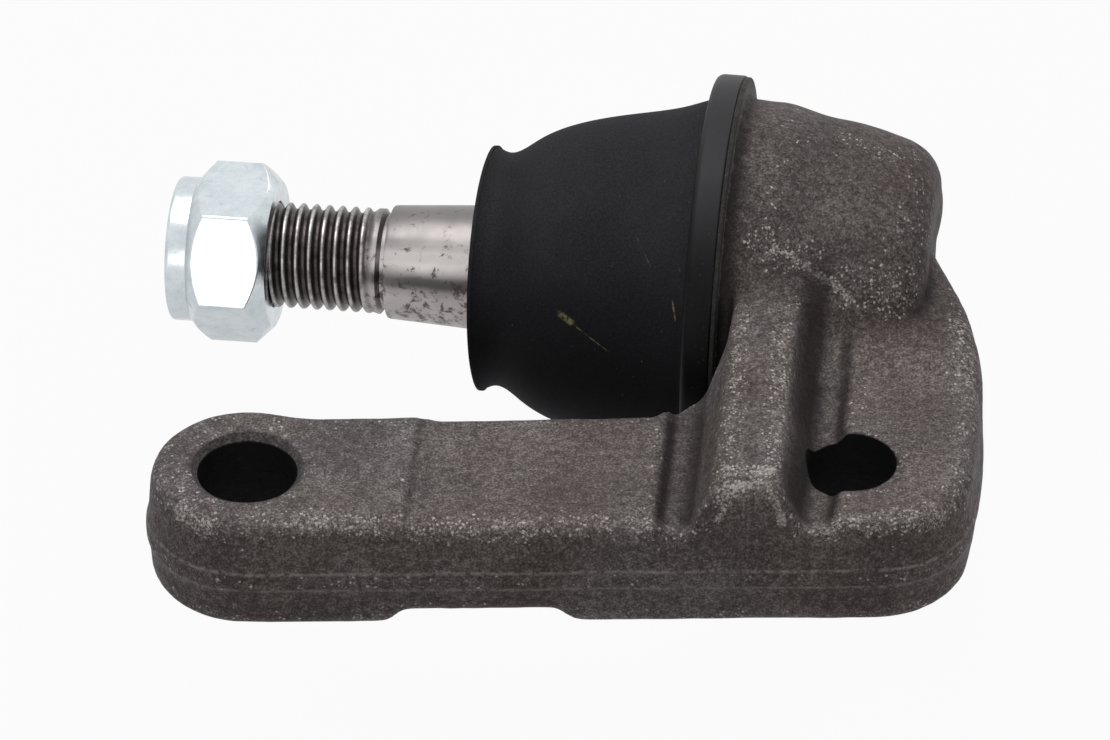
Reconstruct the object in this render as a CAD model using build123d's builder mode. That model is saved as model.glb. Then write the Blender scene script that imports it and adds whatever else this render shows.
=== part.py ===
from build123d import *
import os
from math import acos, atan2, cos, radians, sin, sqrt, tan

# Suspension ball joint, in millimetres. The two bolt holes stand on the X axis and point along Z.
# Z = 0 is the parting plane of the forging, and the ball's centre lies in it.

# ---- bolt holes and plate -------------------------------------------------------------------
eye_hole_dia = 11.0
locating_hole_dia = 10.0
hole_spacing = 66.0
hole_chamfer = 0.7
plate_half_thick = 7.2
plate_under = 6.8  # thickness below the parting plane
eye_pad_rise = 0.6
draft = 3.5  # degrees, on every forged side wall
plate_edge_round = 2.0
flash_height = 2.4
flash_proud = 0.25

# ---- outline of the plate, at the parting plane ----------------------------------------------
eye_radius = 11.0
eye_shift = 0.5  # the eye is forged a little behind its bolt hole
arm_front_right = 11.6
arm_back = 10.0
arm_blend = 14.0
plate_right = 76.7
plate_bulge = 4.3
plate_back_reach = 15.2  # from the ball to the outline's end behind it
plate_back_past = 1.0
corner_radius = 11.0
web_left = 52.4
web_waist_y = 16.7
web_shoulder_y = 29.7
web_spread = 2.0  # the web widens by this towards its shoulder
web_foot = 6.0
web_corner_radius = 6.0
pad_step_x = 18.9
step_slope = 40.0  # degrees, of the short ramps between levels
web_lean = 6.5  # degrees, the rib and its valleys lean towards the closed end of the cup

# ---- relief under the arm ---------------------------------------------------------------------
relief_start = 17.4
relief_end = 35.4
relief_depth = 1.8

# ---- rib and its valleys, measured on the bolt-hole line --------------------------------------
valley_left = 45.4
valley_right = 64.9
valley_depth = 1.2
valley_wall_angle = 45.0
rib_centre = 55.2
rib_top_width = 6.8
rib_base_width = 12.4
rib_top = 12.4
rib_round = 1.6
rib_nose_round = 3.5
rib_end_short = 8.0  # the rib ends inside the cup, this far short of the ball's centre
valley_round = 0.8

# ---- where the ball is and which way the stud points ------------------------------------------
ball_x = 61.4
ball_y = 40.7
cup_yaw = 8.8  # degrees, the cup's axis turns away from the arm
stud_yaw = 10.5  # the stud hangs a little out of line with the cup
stud_pitch = -2.2

# ---- ball stud ---------------------------------------------------------------------------------
ball_radius = 10.5
ball_flat_depth = 1.0
neck_radius = 5.6
neck_length = 5.0
taper_ratio = 1 / 8
taper_small_dia = 12.9
taper_small_at = 45.5  # from the ball's centre, along the stud
taper_length = 25.1
thread_dia = 12.0
runout_dia = 10.6
runout_length = 1.0
stud_length = 70.0
stud_end_chamfer = 1.0

# ---- lock nut ----------------------------------------------------------------------------------
nut_across_flats = 18.0
nut_height = 11.6
nut_overhang = 0.6  # the nut reaches this far past the end of the stud
nut_seat_dia = 16.6
nut_collar_dia = 16.4
nut_collar_length = 2.8
nut_turn = -1.5  # degrees
collar_round = 0.8
collar_lip = 1.0
insert_dia = 13.6
insert_thick = 2.2
insert_recess = 0.5
thread_clearance = 0.05
insert_clearance = 0.05

# ---- bearing -----------------------------------------------------------------------------------
running_clearance = 0.05
seat_wall = 2.6
seat_split = 0.25
seat_mouth_share = 0.59  # of the ball's radius, from its centre to the seat's mouth
seat_back_wall = 1.4
seat_back_slope = 3.6
swing_angle = 27.0  # the stud may lean this far before metal meets metal
spring_thick = 0.7
spring_rise = 0.4
spring_outer_dia = 17.0
spring_inner_dia = 8.0
closing_ring_thick = 2.2
closing_ring_dia = 31.0
ring_clearance = 0.05
grease_hole_dia = 4.0

# ---- cup ---------------------------------------------------------------------------------------
cup_radius = 21.0
cup_shoulder_radius = 20.8
cup_shoulder_at = 1.5
cup_shoulder_round = 8.0
cup_end_radius = 16.1
cup_end_at = -15.2
cup_end_round = 4.5
flange_step = 0.1  # the flange is this much smaller than the clamp ring
flange_thick = 0.5
flange_chamfer = 0.2
spigot_radius = 19.0
rim_stand_out = 0.5
rim_opening_dia = 27.2
rim_chamfer = 1.0

# ---- dust boot and its rings --------------------------------------------------------------------
clamp_at = 6.9
clamp_width = 3.2
clamp_wall = 1.2
clamp_hook = 0.9
clamp_hook_reach = 1.2
clamp_round = 0.9
boot_clearance = 0.3
boot_wall = 2.0
boot_bead_thick = 2.7
boot_root_gap = 0.5  # between the clamp ring's hook and the boot
boot_shoulder_radius = 19.75
boot_shoulder_at = 13.0
boot_belly_radius = 18.45
boot_belly_at = 19.3
boot_knee_radius = 16.9
boot_knee_at = 25.6
boot_cone_radius = 14.9
boot_cone_at = 29.7
boot_neck_radius = 13.25
boot_neck_at = 33.1
boot_rim_radius = 14.1
boot_lip = 1.2
boot_end_at = 34.9
boot_hub_depth = 5.6
boot_hub_inset = 4.8  # the hub's inner corner lies this far inside the knee
boot_lip_flare = 0.4  # outward, per millimetre along the stud
boot_dish_depth = 1.6
neck_ring_dia = 20.6
neck_ring_wire = 1.4

# ---- directions ----------------------------------------------------------------------------------
def direction(yaw, pitch):
    """Away from the closed end of the cup: yaw turns it from -X towards +Y, pitch lifts it."""
    level = cos(radians(pitch))
    return Vector(-cos(radians(yaw)) * level, sin(radians(yaw)) * level, sin(radians(pitch)))


def profile_along(axis_dir):
    """Where profiles are drawn: local x is the radius, local y the distance from the ball's centre."""
    side = axis_dir.cross(Vector(0, 0, 1)).normalized()
    return Plane(ball_centre, x_dir=side, z_dir=side.cross(axis_dir))


ball_centre = Vector(ball_x, ball_y, 0)
cup_dir = direction(cup_yaw, 0)
cup_axis = Axis(ball_centre, cup_dir)
cup_profile = profile_along(cup_dir)
stud_dir = direction(stud_yaw, stud_pitch)
stud_axis = Axis(ball_centre, stud_dir)
stud_profile = profile_along(stud_dir)

# ---- forged housing ------------------------------------------------------------------------------
plate_top = plate_half_thick
valley_floor = plate_top - valley_depth
valley_run = valley_depth / tan(radians(valley_wall_angle))
band_bottom = plate_half_thick / 2
band_margin = 1.0
inside_cup_y = ball_y - rib_end_short
tolerance = 0.01
# The front wall starts where it touches the eye and runs to the front corner.
eye_centre = Vector(0, eye_shift)
front_corner = Vector(plate_right, -arm_front_right)
to_corner = front_corner - eye_centre
touch_angle = atan2(to_corner.Y, to_corner.X) - acos(eye_radius / to_corner.length)
front_start = eye_centre + Vector(cos(touch_angle), sin(touch_angle)) * eye_radius
front_dir = (front_corner - front_start).normalized()
front_wall = Plane(front_start, x_dir=(-front_dir.Y, front_dir.X, 0), z_dir=front_dir)
beyond = 2 * arm_front_right
far_reach = 2 * ball_y

web_waist = (web_left, web_waist_y)
web_root = (web_left - web_foot, arm_back)

with BuildSketch() as plate_plan:
    with BuildLine():
        front = Line(front_start, front_corner)
        side = ThreePointArc(
            front @ 1,
            (plate_right + plate_bulge, ball_y / 2),
            (ball_x + plate_back_reach, ball_y + plate_back_past),
        )
        Polyline(
            side @ 1,
            (ball_x, ball_y),
            (web_left + web_spread, web_shoulder_y),
            web_waist,
            web_root,
            (0, arm_back),
            eye_centre,
            front @ 0,
        )
    make_face()
    corner = plate_plan.vertices().sort_by_distance(front_corner)[0]
    fillet(corner, radius=corner_radius)
    web_corners = [plate_plan.vertices().sort_by_distance(at)[0] for at in (web_waist, web_root)]
    fillet(web_corners, radius=web_corner_radius)
    with Locations((0, eye_shift)):
        Circle(eye_radius)
    neck_corner = plate_plan.vertices().sort_by_distance((eye_radius / 2, arm_back))[0]
    fillet(neck_corner, radius=arm_blend)


# The web leans: its steps, rib and valleys run along lean_dir.
lean_dir = Vector(sin(radians(web_lean)), cos(radians(web_lean)), 0)
across = Vector(cos(radians(web_lean)), -sin(radians(web_lean)), 0)


def forged_slab(top):
    """One side of the parting plane: drafted walls and a rounded upper edge."""
    with BuildPart() as slab:
        add(plate_plan.sketch)
        extrude(amount=top, taper=draft)
        # The two edges nearest the ball are inside the cup and stay sharp.
        top_edges = slab.faces().sort_by(Axis.Z)[-1].edges().sort_by_distance(ball_centre)[2:]
        fillet(top_edges, radius=plate_edge_round)
    return slab.part


def ramp(at, height, slope):
    """A cut across the arm that passes the bolt-hole line at a height and leans by a slope."""
    foot = Vector(at, 0, height)
    return Plane(foot, x_dir=lean_dir, z_dir=across + Vector(0, 0, 1) * tan(radians(slope)))


def cut_between(slab, left, right):
    """The stretch of a slab between two ramps."""
    with BuildPart() as stretch:
        add(slab)
        if left:
            split(bisect_by=left, keep=Keep.TOP)
        if right:
            split(bisect_by=right, keep=Keep.BOTTOM)
    return stretch.part


plate_slab = forged_slab(plate_half_thick)
foot_slab = forged_slab(plate_under)
relief_floor = plate_under - relief_depth
pad_step = ramp(pad_step_x, plate_half_thick, step_slope)
relief_left = ramp(relief_start, relief_floor, step_slope)
relief_right = ramp(relief_end, relief_floor, -step_slope)

with BuildPart() as upper_plate:
    add(cut_between(forged_slab(plate_half_thick + eye_pad_rise), None, pad_step))
    add(cut_between(plate_slab, pad_step, None))

with BuildPart() as lower_plate:
    add(cut_between(foot_slab, None, relief_left))
    add(cut_between(forged_slab(relief_floor), relief_left, relief_right))
    add(cut_between(foot_slab, relief_right, None))

# The rib and its valleys: one cross-section, run along the lean of the web and trimmed to the plate.
section_plane = Plane(Vector(rib_centre, 0, 0) - lean_dir * beyond, x_dir=-across, z_dir=lean_dir)
half_base = rib_base_width / 2
half_top = rib_top_width / 2
to_left = rib_centre - valley_left
to_right = valley_right - rib_centre

with BuildPart() as plan_prism:
    add(plate_plan.sketch)
    extrude(amount=rib_top + band_margin, taper=draft)

with BuildPart() as web_top:
    with BuildSketch(section_plane):
        with BuildLine():
            Polyline(
                (to_left + band_margin, band_bottom),
                (to_left + band_margin, plate_top),
                (to_left, plate_top),
                (to_left - valley_run, valley_floor),
                (half_base, valley_floor),
                (half_top, rib_top),
                (-half_top, rib_top),
                (-half_base, valley_floor),
                (valley_run - to_right, valley_floor),
                (-to_right, plate_top),
                (-to_right - band_margin, plate_top),
                (-to_right - band_margin, band_bottom),
                close=True,
            )
        section = make_face()
        low = section.vertices().filter_by_position(
            Axis.Y, valley_floor - tolerance, plate_top + tolerance
        )
        fillet(
            low.filter_by_position(Axis.X, -to_right - tolerance, to_left + tolerance),
            radius=valley_round,
        )
        fillet(section.vertices().group_by(Axis.Y)[-1], radius=rib_round)
    extrude(amount=beyond + inside_cup_y)
    with BuildSketch(front_wall.offset(valley_left - beyond)):
        with BuildLine():
            Polyline(
                (0, 0),
                (rib_top * tan(radians(draft)), rib_top),
                (inside_cup_y + 2 * beyond, rib_top),
                (inside_cup_y + 2 * beyond, 0),
                close=True,
            )
        nose = make_face()
        fillet(nose.vertices().sort_by_distance((0, rib_top))[0], radius=rib_nose_round)
    extrude(amount=3 * beyond, mode=Mode.INTERSECT)
    add(plan_prism.part, mode=Mode.INTERSECT)

with BuildPart() as upper_half:
    add(upper_plate.part)
    with BuildSketch(section_plane):
        with Locations(((to_left - to_right) / 2, band_bottom + rib_top)):
            Rectangle(to_left + to_right + 2 * band_margin, 2 * rib_top)
    extrude(amount=2 * beyond + far_reach, mode=Mode.SUBTRACT)
    add(web_top.part)

boot_mouth_radius = spigot_radius + boot_clearance
bead_radius = boot_mouth_radius + boot_bead_thick
clamp_inner_radius = bead_radius + boot_clearance
clamp_radius = clamp_inner_radius + clamp_wall
hook_radius = clamp_inner_radius - clamp_hook_reach
flange_radius = clamp_radius - flange_step
clamp_front = clamp_at + clamp_width
rim_at = clamp_front + rim_stand_out

with BuildPart() as cup_body:
    with BuildSketch(cup_profile) as cup_section:
        Polygon(
            (0, cup_end_at),
            (cup_end_radius, cup_end_at),
            (cup_shoulder_radius, cup_shoulder_at),
            (cup_radius, clamp_at - flange_thick),
            (flange_radius - flange_chamfer, clamp_at - flange_thick),
            (flange_radius, clamp_at - flange_thick + flange_chamfer),
            (flange_radius, clamp_at),
            (spigot_radius, clamp_at),
            (spigot_radius, rim_at - rim_chamfer),
            (spigot_radius - rim_chamfer, rim_at),
            (0, rim_at),
            align=None,
        )
        end_corner = cup_section.vertices().sort_by_distance((cup_end_radius, cup_end_at))[0]
        fillet(end_corner, radius=cup_end_round)
        shoulder = cup_section.vertices().sort_by_distance((cup_shoulder_radius, cup_shoulder_at))[0]
        fillet(shoulder, radius=cup_shoulder_round)
    revolve(axis=cup_axis)

seat_mouth_at = ball_radius * seat_mouth_share
seat_back_at = ball_radius + seat_back_wall
cavity_radius = ball_radius + seat_wall + 2 * running_clearance
seat_end_radius = cavity_radius - seat_back_slope
cavity_end_at = -(seat_back_at + spring_thick + spring_rise)
closing_ring_front = seat_mouth_at + closing_ring_thick

with BuildPart() as forged_housing:
    add(upper_half.part)
    add(mirror(lower_plate.part, about=Plane.XY))
    with BuildSketch(Plane.XY.offset(-flash_height / 2)):
        add(plate_plan.sketch)
        offset(amount=flash_proud)
    extrude(amount=flash_height)
    add(cup_body.part)
    # The bore for the bearing, the step for the closing ring and the rolled rim over it.
    with BuildSketch(cup_profile):
        Polygon(
            (0, cavity_end_at),
            (seat_end_radius, cavity_end_at),
            (seat_end_radius, -seat_back_at),
            (cavity_radius, -seat_back_at + seat_back_slope),
            (cavity_radius, seat_mouth_at),
            (closing_ring_dia / 2, seat_mouth_at),
            (closing_ring_dia / 2, closing_ring_front),
            (rim_opening_dia / 2, closing_ring_front),
            (rim_opening_dia / 2, rim_at),
            (0, rim_at),
            align=None,
        )
    revolve(axis=cup_axis, mode=Mode.SUBTRACT)
    # The eye is reamed through and countersunk on both faces; the locating hole is plain.
    eye_faces = (
        Plane((0, 0, plate_half_thick + eye_pad_rise)),
        Plane((0, 0, -plate_under), z_dir=(0, 0, -1)),
    )
    with Locations(*eye_faces):
        CounterSinkHole(
            radius=eye_hole_dia / 2,
            counter_sink_radius=eye_hole_dia / 2 + hole_chamfer,
            counter_sink_angle=90,
        )
    with Locations((hole_spacing, 0, 0)):
        Hole(radius=locating_hole_dia / 2)

# ---- ball stud ---------------------------------------------------------------------------------------
def taper_radius(at):
    """The stud's taper: its radius at a distance from the ball's centre."""
    return (taper_small_dia + (taper_small_at - at) * taper_ratio) / 2


taper_large_at = taper_small_at - taper_length
ball_flat_at = -(ball_radius - ball_flat_depth)
neck_start = sqrt(ball_radius**2 - neck_radius**2)

with BuildPart() as ball_stud:
    with BuildSketch(stud_profile):
        with BuildLine():
            ball = ThreePointArc(
                (sqrt(ball_radius**2 - ball_flat_at**2), ball_flat_at),
                (ball_radius, 0),
                (neck_radius, neck_start),
            )
            neck = Line(ball @ 1, (neck_radius, neck_start + neck_length))
            flare = Spline(
                neck @ 1,
                (taper_radius(taper_large_at), taper_large_at),
                tangents=((0, 1), (0, 1)),
            )
            Polyline(
                flare @ 1,
                (taper_radius(taper_small_at), taper_small_at),
                (runout_dia / 2, taper_small_at),
                (runout_dia / 2, taper_small_at + runout_length),
                (thread_dia / 2, taper_small_at + runout_length + (thread_dia - runout_dia) / 2),
                (thread_dia / 2, stud_length - stud_end_chamfer),
                (thread_dia / 2 - stud_end_chamfer, stud_length),
                (0, stud_length),
                (0, ball_flat_at),
                ball @ 0,
            )
        make_face()
    revolve(axis=stud_axis)

# ---- lock nut and its insert ---------------------------------------------------------------------------
nut_end_at = stud_length + nut_overhang
nut_seat_at = nut_end_at - nut_height
collar_at = nut_end_at - nut_collar_length
nut_corner_radius = nut_across_flats / 2 / cos(radians(30))
nut_plane = Plane(ball_centre + stud_dir * nut_seat_at, x_dir=stud_profile.x_dir, z_dir=stud_dir)
nut_bore_radius = thread_dia / 2 + thread_clearance
corner_drop_seat = nut_corner_radius - nut_seat_dia / 2
corner_drop_collar = (nut_corner_radius - nut_collar_dia / 2) * tan(radians(30))

with BuildPart() as lock_nut:
    with BuildSketch(nut_plane):
        RegularPolygon(
            radius=nut_across_flats / 2, side_count=6, major_radius=False, rotation=nut_turn
        )
    extrude(amount=nut_height)
    with BuildSketch(stud_profile):
        Polygon(
            (nut_bore_radius, nut_seat_at),
            (nut_seat_dia / 2, nut_seat_at),
            (nut_corner_radius, nut_seat_at + corner_drop_seat),
            (nut_corner_radius, collar_at - corner_drop_collar),
            (nut_collar_dia / 2, collar_at),
            (nut_collar_dia / 2, nut_end_at - collar_round),
            (nut_collar_dia / 2 - collar_round, nut_end_at),
            (nut_collar_dia / 2 - collar_lip, nut_end_at),
            (nut_collar_dia / 2 - collar_lip, nut_end_at - insert_recess),
            (insert_dia / 2 + insert_clearance, nut_end_at - insert_recess),
            (insert_dia / 2 + insert_clearance, nut_end_at - insert_recess - insert_thick),
            (nut_bore_radius, nut_end_at - insert_recess - insert_thick),
            align=None,
        )
    revolve(axis=stud_axis, mode=Mode.INTERSECT)

with BuildPart() as nylon_insert:
    with BuildSketch(stud_profile):
        Polygon(
            (nut_bore_radius, nut_end_at - insert_recess),
            (insert_dia / 2, nut_end_at - insert_recess),
            (insert_dia / 2, nut_end_at - insert_recess - insert_thick),
            (nut_bore_radius, nut_end_at - insert_recess - insert_thick),
            align=None,
        )
    revolve(axis=stud_axis)

# ---- bearing ---------------------------------------------------------------------------------------------
seat_radius = ball_radius + running_clearance
seat_outer_radius = cavity_radius - running_clearance


def race_point(at):
    """A point on the seats' spherical face, at a distance from the ball's centre."""
    return (sqrt(seat_radius**2 - at**2), at)


def sweep_radius(at):
    """How far out the leaning neck reaches, at a distance from the ball's centre."""
    return at * tan(radians(swing_angle)) + neck_radius / cos(radians(swing_angle))


mouth_radius = sweep_radius(seat_mouth_at)
mouth_contact_at = sqrt(seat_radius**2 - mouth_radius**2)
grease_hole_at = sqrt(seat_radius**2 - (grease_hole_dia / 2) ** 2)

with BuildPart() as front_seat:
    with BuildSketch(cup_profile):
        with BuildLine():
            race = ThreePointArc(
                race_point(seat_split),
                race_point((seat_split + mouth_contact_at) / 2),
                race_point(mouth_contact_at),
            )
            Polyline(
                race @ 1,
                (mouth_radius, seat_mouth_at),
                (seat_outer_radius, seat_mouth_at),
                (seat_outer_radius, seat_split),
                race @ 0,
            )
        make_face()
    revolve(axis=cup_axis)

with BuildPart() as rear_seat:
    with BuildSketch(cup_profile):
        with BuildLine():
            cup_race = ThreePointArc(
                race_point(-seat_split),
                race_point(-seat_radius / 2),
                race_point(-grease_hole_at),
            )
            Polyline(
                cup_race @ 1,
                (grease_hole_dia / 2, -seat_back_at),
                (seat_end_radius - running_clearance, -seat_back_at),
                (seat_outer_radius, -seat_back_at + seat_back_slope),
                (seat_outer_radius, -seat_split),
                cup_race @ 0,
            )
        make_face()
    revolve(axis=cup_axis)

with BuildPart() as preload_spring:
    with BuildSketch(cup_profile):
        Polygon(
            (spring_inner_dia / 2, -seat_back_at),
            (spring_inner_dia / 2, -seat_back_at - spring_thick),
            (spring_outer_dia / 2, cavity_end_at),
            (spring_outer_dia / 2, cavity_end_at + spring_thick),
            align=None,
        )
    revolve(axis=cup_axis)

with BuildPart() as closing_ring:
    with BuildSketch(cup_profile):
        Polygon(
            (mouth_radius, seat_mouth_at),
            (closing_ring_dia / 2 - ring_clearance, seat_mouth_at),
            (closing_ring_dia / 2 - ring_clearance, closing_ring_front),
            (sweep_radius(closing_ring_front), closing_ring_front),
            align=None,
        )
    revolve(axis=cup_axis)

# ---- dust boot and its rings -----------------------------------------------------------------------------
boot_root_radius = hook_radius - boot_root_gap
bead_front = clamp_front - clamp_hook - boot_clearance / 2
bead_neck_radius = hook_radius - boot_clearance
boot_root_at = clamp_front + boot_clearance
hub_back = boot_end_at - boot_hub_depth
hub_radius = taper_radius(hub_back) + boot_clearance
dish_at = boot_end_at - boot_dish_depth
neck_ring_radius = neck_ring_dia / 2
neck_ring_at = (hub_back + dish_at) / 2
wire_room = neck_ring_wire / 2 + boot_clearance

with BuildPart() as dust_boot:
    # The skirt, the neck and the hub stand on the stud.
    with BuildSketch(stud_profile):
        with BuildLine():
            skirt = Spline(
                (boot_root_radius, boot_root_at),
                (boot_shoulder_radius, boot_shoulder_at),
                (boot_belly_radius, boot_belly_at),
                (boot_knee_radius, boot_knee_at),
            )
            cone = Spline(
                skirt @ 1,
                (boot_cone_radius, boot_cone_at),
                (boot_neck_radius, boot_neck_at),
                (boot_rim_radius, boot_end_at),
                tangents=(skirt % 1, (boot_lip_flare, 1)),
            )
            hub = Polyline(
                cone @ 1,
                (boot_rim_radius - boot_lip, boot_end_at),
                (hub_radius + boot_lip, dish_at),
                (hub_radius, dish_at),
                (hub_radius, hub_back),
                (boot_knee_radius - boot_hub_inset, hub_back),
            )
            inside = Spline(
                hub @ 1,
                (boot_knee_radius - boot_wall, boot_knee_at - boot_wall / 2),
                (boot_belly_radius - boot_wall, boot_belly_at),
                (boot_shoulder_radius - boot_wall, boot_shoulder_at),
                (boot_root_radius - boot_wall, boot_root_at),
            )
            Line(inside @ 1, skirt @ 0)
        make_face()
        with Locations((neck_ring_radius, neck_ring_at)):
            Circle(wire_room, mode=Mode.SUBTRACT)
    revolve(axis=stud_axis)
    # The bead under the clamp ring stands on the cup.
    with BuildSketch(cup_profile):
        Polygon(
            (boot_mouth_radius, clamp_at),
            (bead_radius, clamp_at),
            (bead_radius, bead_front),
            (bead_neck_radius, bead_front),
            (bead_neck_radius, boot_root_at),
            (boot_shoulder_radius, rim_at + boot_wall),
            (boot_mouth_radius, rim_at + boot_wall),
            align=None,
        )
    revolve(axis=cup_axis)
    with BuildSketch(cup_profile):
        Polygon(
            (0, clamp_at - boot_clearance),
            (boot_mouth_radius, clamp_at - boot_clearance),
            (boot_mouth_radius, rim_at - rim_chamfer + boot_clearance),
            (boot_mouth_radius - rim_chamfer, rim_at + boot_clearance),
            (0, rim_at + boot_clearance),
            align=None,
        )
    revolve(axis=cup_axis, mode=Mode.SUBTRACT)

with BuildPart() as boot_neck_ring:
    with BuildSketch(stud_profile):
        with Locations((neck_ring_radius, neck_ring_at)):
            Circle(neck_ring_wire / 2)
    revolve(axis=stud_axis)

with BuildPart() as boot_clamp_ring:
    with BuildSketch(cup_profile):
        clamp = Polygon(
            (clamp_inner_radius, clamp_at),
            (clamp_radius, clamp_at),
            (clamp_radius, clamp_front),
            (hook_radius, clamp_front),
            (hook_radius, clamp_front - clamp_hook),
            (clamp_inner_radius, clamp_front - clamp_hook),
            align=None,
        )
        fillet(clamp.vertices().sort_by_distance((clamp_radius, clamp_front))[0], radius=clamp_round)
    revolve(axis=cup_axis)

# ---- files -------------------------------------------------------------------------------------------------
pieces = {
    "forged_housing": forged_housing,
    "ball_stud": ball_stud,
    "lock_nut": lock_nut,
    "nylon_insert": nylon_insert,
    "front_seat": front_seat,
    "rear_seat": rear_seat,
    "preload_spring": preload_spring,
    "closing_ring": closing_ring,
    "dust_boot": dust_boot,
    "boot_neck_ring": boot_neck_ring,
    "boot_clamp_ring": boot_clamp_ring,
}
os.makedirs("parts", exist_ok=True)
for name, piece in pieces.items():
    piece.part.label = name
    export_step(piece.part, f"parts/{name}.step")
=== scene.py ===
import math

import bmesh
import bpy
import numpy as np
from mathutils import Matrix, Vector


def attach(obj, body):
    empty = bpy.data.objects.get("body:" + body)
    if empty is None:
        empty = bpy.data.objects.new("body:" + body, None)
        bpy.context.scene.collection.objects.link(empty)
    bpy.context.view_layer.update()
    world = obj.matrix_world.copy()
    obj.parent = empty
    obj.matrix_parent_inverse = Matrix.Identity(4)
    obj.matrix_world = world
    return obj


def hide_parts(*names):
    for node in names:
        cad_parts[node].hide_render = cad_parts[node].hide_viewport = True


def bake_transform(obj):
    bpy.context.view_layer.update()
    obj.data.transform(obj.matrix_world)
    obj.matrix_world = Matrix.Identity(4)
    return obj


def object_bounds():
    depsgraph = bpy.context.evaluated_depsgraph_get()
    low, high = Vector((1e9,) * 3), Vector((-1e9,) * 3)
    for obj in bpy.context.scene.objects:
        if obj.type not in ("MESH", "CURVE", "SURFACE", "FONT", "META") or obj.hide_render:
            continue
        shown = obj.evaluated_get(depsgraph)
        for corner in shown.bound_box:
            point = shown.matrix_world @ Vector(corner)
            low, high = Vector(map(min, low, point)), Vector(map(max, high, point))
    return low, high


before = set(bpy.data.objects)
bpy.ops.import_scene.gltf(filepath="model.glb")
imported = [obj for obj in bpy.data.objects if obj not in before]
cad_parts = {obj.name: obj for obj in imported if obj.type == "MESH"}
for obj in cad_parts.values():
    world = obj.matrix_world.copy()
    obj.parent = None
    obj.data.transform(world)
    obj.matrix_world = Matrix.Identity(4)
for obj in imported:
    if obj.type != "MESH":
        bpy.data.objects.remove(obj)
cadBox = [list(corner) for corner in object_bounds()]
mm = 0.001

# shared geometry of the joint: the ball's centre, the cup's axis and the stud's axis
joint = {
    "ball": Vector((61.4, 40.7, 0.0)) * mm,
    "cupYaw": 8.8,
    "studYaw": 10.5,
    "studPitch": -2.2,
}


def direction(yaw, pitch):
    y, p = math.radians(yaw), math.radians(pitch)
    return Vector((-math.cos(y) * math.cos(p), math.sin(y) * math.cos(p), math.sin(p)))


def axisMatrix(along):
    # local z runs along the axis, local x stays level, and the ball's centre is the origin
    side = along.cross(Vector((0, 0, 1))).normalized()
    up = side.cross(along)
    turn = Matrix((side, -up, along)).transposed()
    return Matrix.Translation(joint["ball"]) @ turn.to_4x4()


cupDir = direction(joint["cupYaw"], 0)
studDir = direction(joint["studYaw"], joint["studPitch"])
cupFrame = axisMatrix(cupDir)
studFrame = axisMatrix(studDir)


# node helpers
def newMaterial(name):
    material = bpy.data.materials.new(name)
    material.use_nodes = True
    tree = material.node_tree
    shader = next(node for node in tree.nodes if node.type == "BSDF_PRINCIPLED")
    return material, tree, shader


def feed(tree, socket, value):
    if isinstance(value, bpy.types.NodeSocket):
        tree.links.new(value, socket)
    else:
        socket.default_value = value


def add(tree, kind, inputs=None, **settings):
    node = tree.nodes.new(kind)
    for key, value in settings.items():
        setattr(node, key, value)
    for key, value in (inputs or {}).items():
        feed(tree, node.inputs[key], value)
    return node


def noise(tree, vector, scale, detail=2.0, roughness=0.5, distortion=0.0):
    node = add(tree, "ShaderNodeTexNoise", {
        "Vector": vector, "Scale": scale, "Detail": detail,
        "Roughness": roughness, "Distortion": distortion,
    })
    return node.outputs["Fac"]


def ramp(tree, value, stops, ease="LINEAR"):
    node = add(tree, "ShaderNodeValToRGB", {"Fac": value})
    node.color_ramp.interpolation = ease
    points = node.color_ramp.elements
    while len(points) < len(stops):
        points.new(0.5)
    for point, (at, level) in zip(points, stops):
        point.position = at
        point.color = (level, level, level, 1) if isinstance(level, (int, float)) else (*level, 1)
    return node.outputs["Color"]


def mix(tree, factor, first, second, blend="MIX"):
    node = add(tree, "ShaderNodeMix", data_type="RGBA", blend_type=blend)
    sockets = [s for s in node.inputs if s.enabled and s.type in ("RGBA", "VALUE")]
    for socket, value in zip(sockets, (factor, first, second)):
        feed(tree, socket, (*value, 1) if isinstance(value, tuple) else value)
    return next(s for s in node.outputs if s.enabled)


def maths(tree, operation, *values, clamp=False):
    return add(tree, "ShaderNodeMath", dict(enumerate(values)), operation=operation, use_clamp=clamp).outputs[0]


def times(tree, first, second):
    return maths(tree, "MULTIPLY", first, second)


def plus(tree, first, second):
    return maths(tree, "ADD", first, second)


def minus(tree, first, second):
    return maths(tree, "SUBTRACT", first, second)


def weighted(tree, *terms):
    # sum of values, each times its weight
    parts = [value if weight == 1 else times(tree, value, weight) for value, weight in terms]
    total = parts[0]
    for part in parts[1:]:
        total = plus(tree, total, part)
    return total


def shaded(colour, share):
    return tuple(level * share for level in colour)


def mapRange(tree, value, low, high, **settings):
    node = add(tree, "ShaderNodeMapRange", {"Value": value, "From Min": low, "From Max": high}, **settings)
    return node.outputs[0]


def vectorMaths(tree, operation, first, second, output="Vector"):
    return add(tree, "ShaderNodeVectorMath", {0: first, 1: second}, operation=operation).outputs[output]


def split(tree, vector):
    return add(tree, "ShaderNodeSeparateXYZ", {"Vector": vector}).outputs


def bump(tree, height, strength, distance, normal=None):
    node = add(tree, "ShaderNodeBump", {"Height": height, "Strength": strength, "Distance": distance})
    if normal:
        tree.links.new(normal, node.inputs["Normal"])
    return node.outputs["Normal"]


def objectCoords(tree):
    return add(tree, "ShaderNodeTexCoord").outputs["Object"]


def readAttribute(tree, name):
    return add(tree, "ShaderNodeAttribute", attribute_name=name).outputs["Fac"]


def alongAxis(tree, frameMatrix):
    # object coordinates turned so that z runs along an axis of the joint
    turned = frameMatrix.inverted()
    node = add(tree, "ShaderNodeMapping", {
        "Vector": objectCoords(tree),
        "Location": turned.to_translation(),
        "Rotation": turned.to_euler("XYZ"),
    })
    return node.outputs["Vector"]


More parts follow.
